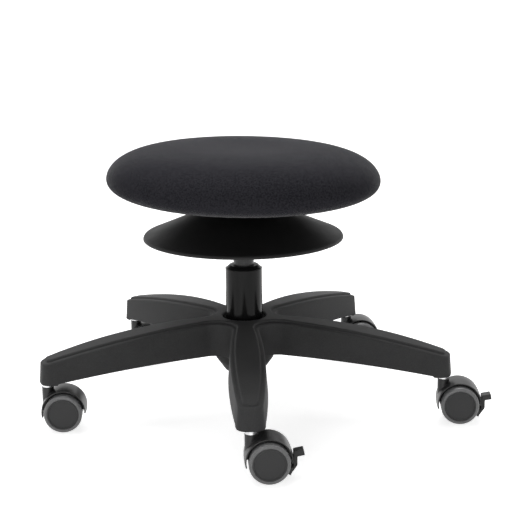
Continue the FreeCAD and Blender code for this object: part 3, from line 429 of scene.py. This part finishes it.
def make_materials():
    """One material for each slot of the record, apart from the cushion's cloth and foam."""
    return {
        **plastics(),
        **metals(),
        "black_rubber": soft_rubber("black_rubber", greys(0.008, 0.016), rough=(0.6, 0.8), bloom=0.1),
        "tread_rubber": soft_rubber(
            "tread_rubber", greys(0.15, 0.21), rough=(0.2, 0.34), bloom=0.15, edge_radius=0.003),
        "plywood": plywood(),
        "dust_fabric": felted_fabric(),
    }


def dress_nodes(materials):
    """Gives each solid of the frame its slot's material."""
    for row in frame["record"]["subparts"]:
        solid = frame["nodes"][row["node"]]
        finish = materials.get(row["material_slot"])
        if finish:
            solid.data.materials.clear()
            solid.data.materials.append(finish)


# Base

def bow_level(place):
    """Height of the bowed tops of the arms over a place."""
    out = max(math.hypot(place[0], place[1]) - SHOULDER_RADIUS, 0.0)
    return HUB_TOP - BOW_RADIUS + math.sqrt(BOW_RADIUS ** 2 - out ** 2)


def closed_loops(edges):
    """Vertices along edges, in order, one list for each closed loop."""
    beside = {}
    for edge in edges:
        for vertex in edge.verts:
            beside.setdefault(vertex, []).append(edge.other_vert(vertex))
    loops = []
    while beside:
        loop = [next(iter(beside))]
        while loop[-1] is not None:
            ways = beside.pop(loop[-1])
            loop.append(next((vertex for vertex in ways if vertex in beside), None))
        loops.append(loop[:-1])
    return loops


def with_panel_on_left(loops):
    """The outer loop, which has most points, turned anticlockwise and the hub's mouth clockwise."""
    outer = max(loops, key=len)
    turned = []
    for loop in loops:
        xs, ys = (np.array([vertex.co[axis] for vertex in loop]) for axis in (0, 1))
        area = np.sum(xs * np.roll(ys, -1) - np.roll(xs, -1) * ys)
        turned.append(loop if (area > 0) == (loop is outer) else loop[::-1])
    return turned


def inward(places):
    """Level directions from each place along a loop into the panel."""
    along = np.roll(places, -1, 0) - places
    along /= np.linalg.norm(along, axis=1)[:, None]
    along = along + np.roll(along, 1, 0)
    along /= np.linalg.norm(along, axis=1)[:, None]
    return np.stack([-along[:, 1], along[:, 0]], 1)


def rounded_edge(mesh, loop):
    """Rows of faces that turn from the panel's wall onto its top; gives back the last row's edges."""
    places = np.array([vertex.co[:2] for vertex in loop])
    ways = inward(places)
    row = loop
    for vertex in loop:
        vertex.co.z = bow_level(vertex.co) + PANEL_RISE - PANEL_ROUND
    for step in range(1, PANEL_ROWS + 1):
        turn = math.pi / 2 * step / PANEL_ROWS
        drop = PANEL_ROUND * (1 - math.sin(turn))
        fresh = []
        for x, y in places + PANEL_ROUND * (1 - math.cos(turn)) * ways:
            fresh.append(mesh.verts.new((x, y, bow_level((x, y)) + PANEL_RISE - drop)))
        for i in range(len(row)):
            mesh.faces.new((row[i - 1], row[i], fresh[i], fresh[i - 1]))
        row = fresh
    return [mesh.edges.get((row[i - 1], row[i])) for i in range(len(row))]


def raise_panel(mesh):
    """Lifts the panel on the arms above the rim, with a rounded edge, and lowers the rim."""
    depth = {vertex: bow_level(vertex.co) - vertex.co.z for vertex in mesh.verts}
    panel = [face for face in mesh.faces
             if all(abs(depth[vertex] - PANEL_SUNK) < ON_SURFACE for vertex in face.verts)]
    inside = set(panel)
    sides = [edge for edge in mesh.edges if sum(face in inside for face in edge.link_faces) == 1]
    sunk = {vertex for face in panel for vertex in face.verts}
    for vertex in mesh.verts:
        if vertex not in sunk and depth[vertex] < RIM_ROUND:
            vertex.co.z -= RIM_DROP * (1 - max(depth[vertex], 0) / RIM_ROUND)
    loops = with_panel_on_left(closed_loops(sides))
    bmesh.ops.delete(mesh, geom=panel, context="FACES")
    edges = [edge for loop in loops for edge in rounded_edge(mesh, loop)]
    filled = bmesh.ops.triangle_fill(mesh, use_beauty=True, normal=(0, 0, 1), edges=edges)["geom"]
    for face in filled:
        if isinstance(face, bmesh.types.BMFace):
            face.normal_update()
            if face.normal.z < 0:
                face.normal_flip()


def make_base(finish):
    """The moulded base with its panel raised."""
    base = bpy.data.objects.new("moulded_base", bpy.data.meshes.new("moulded_base"))
    scene.collection.objects.link(base)
    mesh = bmesh.new()
    mesh.from_mesh(frame["nodes"]["base_star"].data)
    bmesh.ops.remove_doubles(mesh, verts=mesh.verts[:], dist=SAME_POINT)
    raise_panel(mesh)
    for face in mesh.faces:
        face.smooth = True
    mesh.to_mesh(base.data)
    mesh.free()
    base.data.set_sharp_from_angle(angle=CREASE_ANGLE)
    base.modifiers.new("even_normals", "WEIGHTED_NORMAL").keep_sharp = True
    base.data.materials.append(finish)
    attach(base, "base")
    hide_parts("base_star")


# Cushion

def cushion_section(slack):
    """Radius, height and length along the section, from the top centre to the bottom centre."""
    t = 1 - np.linspace(1, 0, SECTION_STEPS) ** 3
    top = SIDE_LEVEL + (CROWN_HEIGHT - slack) * (1 - t ** CROWN_POWERS[0]) ** (1 / CROWN_POWERS[1])
    bottom = SIDE_LEVEL - BELLY_DEPTH * (1 - t ** BELLY_POWERS[0]) ** (1 / BELLY_POWERS[1])
    r = np.concatenate([t, t[-2::-1]]) * SIDE_RADIUS
    z = np.concatenate([top, bottom[-2::-1]])
    length = np.concatenate([[0], np.cumsum(np.hypot(np.diff(r), np.diff(z)))])
    return r, z, length


def ball_directions(cuts):
    """Mesh of a cube blown up to a ball, with nearly even squares."""
    mesh = bmesh.new()
    bmesh.ops.create_cube(mesh, size=2.0)
    bmesh.ops.subdivide_edges(mesh, edges=mesh.edges[:], cuts=cuts, use_grid_fill=True)
    for vertex in mesh.verts:
        x, y, z = (c * c for c in vertex.co)
        vertex.co.x *= math.sqrt(max(1 - y / 2 - z / 2 + y * z / 3, 0))
        vertex.co.y *= math.sqrt(max(1 - z / 2 - x / 2 + z * x / 3, 0))
        vertex.co.z *= math.sqrt(max(1 - x / 2 - y / 2 + x * y / 3, 0))
    return mesh


def laid_ball(name, slack):
    """The ball's squares laid on the section."""
    r, z, length = cushion_section(slack)
    ball = ball_directions(CUSHION_CUTS)
    for vertex in ball.verts:
        turn = math.atan2(vertex.co.y, vertex.co.x)
        way = math.acos(max(-1.0, min(1.0, vertex.co.normalized().z))) / math.pi * length[-1]
        radius, level = np.interp(way, length, r), np.interp(way, length, z)
        vertex.co = (radius * math.cos(turn), radius * math.sin(turn), level)
    data = bpy.data.meshes.new(name)
    ball.to_mesh(data)
    ball.free()
    piece = bpy.data.objects.new(name, data)
    scene.collection.objects.link(piece)
    return piece


def points_of(mesh):
    """Vertex places as an array."""
    flat = np.empty(len(mesh.vertices) * 3, np.float32)
    mesh.vertices.foreach_get("co", flat)
    return flat.reshape(-1, 3).astype(float)


def put_points(mesh, points):
    """Writes vertex places back."""
    mesh.vertices.foreach_set("co", points.astype(np.float32).ravel())
    mesh.update()


def support_group(cushion, points):
    """How firmly each point is held: by the staples under the board, and elsewhere by the springy foam."""
    group = cushion.vertex_groups.new(name="support")
    radius = np.hypot(points[:, 0], points[:, 1])
    stapled = (points[:, 2] < SIDE_LEVEL) & (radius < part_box("seat_board")[1].x)
    for chosen, hold in ((stapled, 1.0), (~stapled, FOAM_HOLD)):
        group.add([int(i) for i in np.flatnonzero(chosen)], hold, "REPLACE")
    return group


def swell(cushion):
    """Cloth simulation: pressure swells the cover until its own pull and the foam hold it."""
    start = points_of(cushion.data)
    cloth = cushion.modifiers.new("cloth", "CLOTH")
    settings = cloth.settings
    settings.quality = CLOTH_QUALITY
    settings.mass = CLOTH_MASS
    settings.tension_stiffness = CLOTH_STIFFNESS
    settings.compression_stiffness = CLOTH_STIFFNESS
    settings.shear_stiffness = CLOTH_STIFFNESS
    settings.bending_stiffness = CLOTH_STIFFNESS
    settings.pin_stiffness = STAPLE_STIFFNESS
    settings.use_pressure = True
    settings.uniform_pressure_force = PRESSURE
    settings.effector_weights.gravity = 0.0
    settings.vertex_group_mass = support_group(cushion, start).name
    cloth.point_cache.frame_end = SIM_FRAMES
    for step in range(1, SIM_FRAMES + 1):
        scene.frame_set(step)
    posed = cushion.evaluated_get(bpy.context.evaluated_depsgraph_get())
    move = points_of(posed.data) - start
    cushion.modifiers.remove(cloth)
    cushion.vertex_groups.clear()
    scene.frame_set(1)
    far = np.linalg.norm(move, axis=1, keepdims=True)
    put_points(cushion.data, start + move * np.minimum(1.0, SWELL_CAP / np.maximum(far, 1e-9)))


def refine(piece):
    """Evens the mesh out, divides it once and applies both."""
    smooth = piece.modifiers.new("smooth", "SMOOTH")
    smooth.factor = SMOOTH_SHARE
    smooth.iterations = SMOOTH_PASSES
    piece.modifiers.new("divide", "SUBSURF").levels = 1
    graph = bpy.context.evaluated_depsgraph_get()
    finer = bpy.data.meshes.new_from_object(piece.evaluated_get(graph))
    piece.modifiers.clear()
    piece.data = finer
    for face in finer.polygons:
        face.use_smooth = True


def ease(values, low, high):
    """Smooth step from none at the low end to one at the high end."""
    share = np.clip((values - low) / (high - low), 0, 1)
    return share * share * (3 - 2 * share)


def gather_hem(cushion):
    """Small uneven pleats where the cover is drawn in under the board, up to its hem round the lining."""
    points = points_of(cushion.data)
    rng = np.random.default_rng(PLEAT_SEED)
    turn = np.arctan2(points[:, 1], points[:, 0])
    radius = np.hypot(points[:, 0], points[:, 1])
    below = points[:, 2] < SIDE_LEVEL
    drawn = ease(radius, SIDE_RADIUS, HEM_RADIUS) * below
    sizes = rng.uniform(*SWAY_SIZES, len(SWAY_WAVES))
    starts = rng.uniform(*SWAY_STARTS, len(SWAY_WAVES))
    sway = sum(size * np.sin(waves * turn + start) for waves, size, start in zip(SWAY_WAVES, sizes, starts))
    points[:, 2] -= PLEAT_HEIGHT * drawn * np.abs(np.sin(PLEAT_COUNT / 2 * turn + sway))
    hidden = ease(radius, HEM_RADIUS, HEM_RADIUS - HEM_EDGE) * below
    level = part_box("dust_cover")[0].z + LINING_LEVEL
    points[:, 2] += hidden * (level - points[:, 2])
    put_points(cushion.data, points)


def lean_padding(cushion):
    """Tips the padding a little to the right, as it sits in the photograph; the hem stays on the board."""
    points = points_of(cushion.data)
    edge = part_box("seat_board")[1].x
    radius = np.hypot(points[:, 0], points[:, 1])
    free = np.where(points[:, 2] > SIDE_LEVEL, 1.0, ease(radius, edge, edge + LEAN_FADE))
    points[:, 2] -= points[:, 0] * math.tan(LEAN) * free
    points[:, 0] += LEAN_SHIFT * free
    put_points(cushion.data, points)


def lay_weave(cushion):
    """Stores where each point lies on the flat cloth, so that the weave runs over the edge unstretched."""
    r, z, length = cushion_section(0.0)
    slope = np.arctan2(z - SIDE_LEVEL, r)
    points = points_of(cushion.data)
    here = np.arctan2(points[:, 2] - SIDE_LEVEL, np.hypot(points[:, 0], points[:, 1]))
    way = np.interp(-here, -slope, length)
    turn = np.arctan2(points[:, 1], points[:, 0])
    laid = np.stack([way * np.cos(turn), way * np.sin(turn), np.zeros(len(turn))], 1)
    weave = cushion.data.attributes.new("weave", "FLOAT_VECTOR", "POINT")
    weave.data.foreach_set("vector", laid.astype(np.float32).ravel())


def make_cushion():
    """Padded seat in its woven cover."""
    cushion = laid_ball("seat_cushion", START_SLACK)
    swell(cushion)
    refine(cushion)
    gather_hem(cushion)
    lay_weave(cushion)
    lean_padding(cushion)
    cushion.data.materials.append(woven_fabric())
    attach(cushion, "seat")
    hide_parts("seat_foam", "seat_cover")


# Stage

def look_at(thing, place, target):
    """Puts a lamp or camera somewhere, facing a point."""
    thing.location = place
    thing.rotation_mode = "QUATERNION"
    thing.rotation_quaternion = (Vector(target) - Vector(place)).to_track_quat("-Z", "Y")


def make_camera():
    """Camera where the photographer stood."""
    data = bpy.data.cameras.new("camera")
    data.sensor_width = SENSOR
    data.lens = LENS
    camera = bpy.data.objects.new("camera", data)
    scene.collection.objects.link(camera)
    look_at(camera, EYE, AIM)
    camera.rotation_quaternion = camera.rotation_quaternion @ Quaternion((0, 0, 1), ROLL)
    scene.camera = camera


def make_lamp(name, place, target, size, power):
    """Soft rectangular lamp."""
    data = bpy.data.lights.new(name, "AREA")
    data.shape = "RECTANGLE"
    data.size, data.size_y = size
    data.energy = power
    lamp = bpy.data.objects.new(name, data)
    scene.collection.objects.link(lamp)
    look_at(lamp, place, target)


def seen_directly(nodes, links):
    """One for rays that show the background: from the camera, or by reflection or through glass."""
    path = nodes.new("ShaderNodeLightPath")
    seen = path.outputs["Is Camera Ray"]
    for name in ("Is Glossy Ray", "Is Transmission Ray"):
        most = nodes.new("ShaderNodeMath")
        most.operation = "MAXIMUM"
        links.new(seen, most.inputs[0])
        links.new(path.outputs[name], most.inputs[1])
        seen = most.outputs[0]
    return seen


def make_world():
    """White studio: plain white where it is seen, and dimmer as a light."""
    world = bpy.data.worlds.new("studio")
    scene.world = world
    world.use_nodes = True
    nodes, links = world.node_tree.nodes, world.node_tree.links
    dim = nodes["Background"]
    dim.inputs["Strength"].default_value = ROOM_LIGHT
    bright = nodes.new("ShaderNodeBackground")
    for shader in (dim, bright):
        shader.inputs["Color"].default_value = WHITE
    mix = nodes.new("ShaderNodeMixShader")
    links.new(seen_directly(nodes, links), mix.inputs[0])
    links.new(dim.outputs[0], mix.inputs[1])
    links.new(bright.outputs[0], mix.inputs[2])
    links.new(mix.outputs[0], nodes["World Output"].inputs["Surface"])


def make_floor():
    """Pale floor that keeps the stool's shadow and brightens to the white background further out."""
    data = bpy.data.meshes.new("floor")
    corners = [(x * FLOOR_REACH, y * FLOOR_REACH, 0) for x, y in ((-1, -1), (1, -1), (1, 1), (-1, 1))]
    data.from_pydata(corners, [], [(0, 1, 2, 3)])
    floor = bpy.data.objects.new("floor", data)
    scene.collection.objects.link(floor)
    paint = Paint("pale_floor", {"Base Color": FLOOR_COLOUR, "Roughness": FLOOR_ROUGHNESS})
    away = paint.add("ShaderNodeVectorMath", {0: paint.place}, "Value", operation="LENGTH")
    lift = paint.span(away, FLOOR_FADE, FLOOR_LIFT)
    shown = paint.maths("MULTIPLY", seen_directly(paint.nodes, paint.links), lift)
    glow = paint.add("ShaderNodeEmission", {"Strength": shown})
    both = paint.add("ShaderNodeAddShader", {0: paint.shader.outputs[0], 1: glow})
    paint.links.new(both, paint.nodes["Material Output"].inputs["Surface"])
    data.materials.append(paint.material)


finishes = make_materials()
dress_nodes(finishes)
make_base(finishes["base_nylon"])
make_cushion()
make_camera()
make_world()
make_floor()
for lamp_name, lamp_values in LAMPS.items():
    make_lamp(lamp_name, *lamp_values)
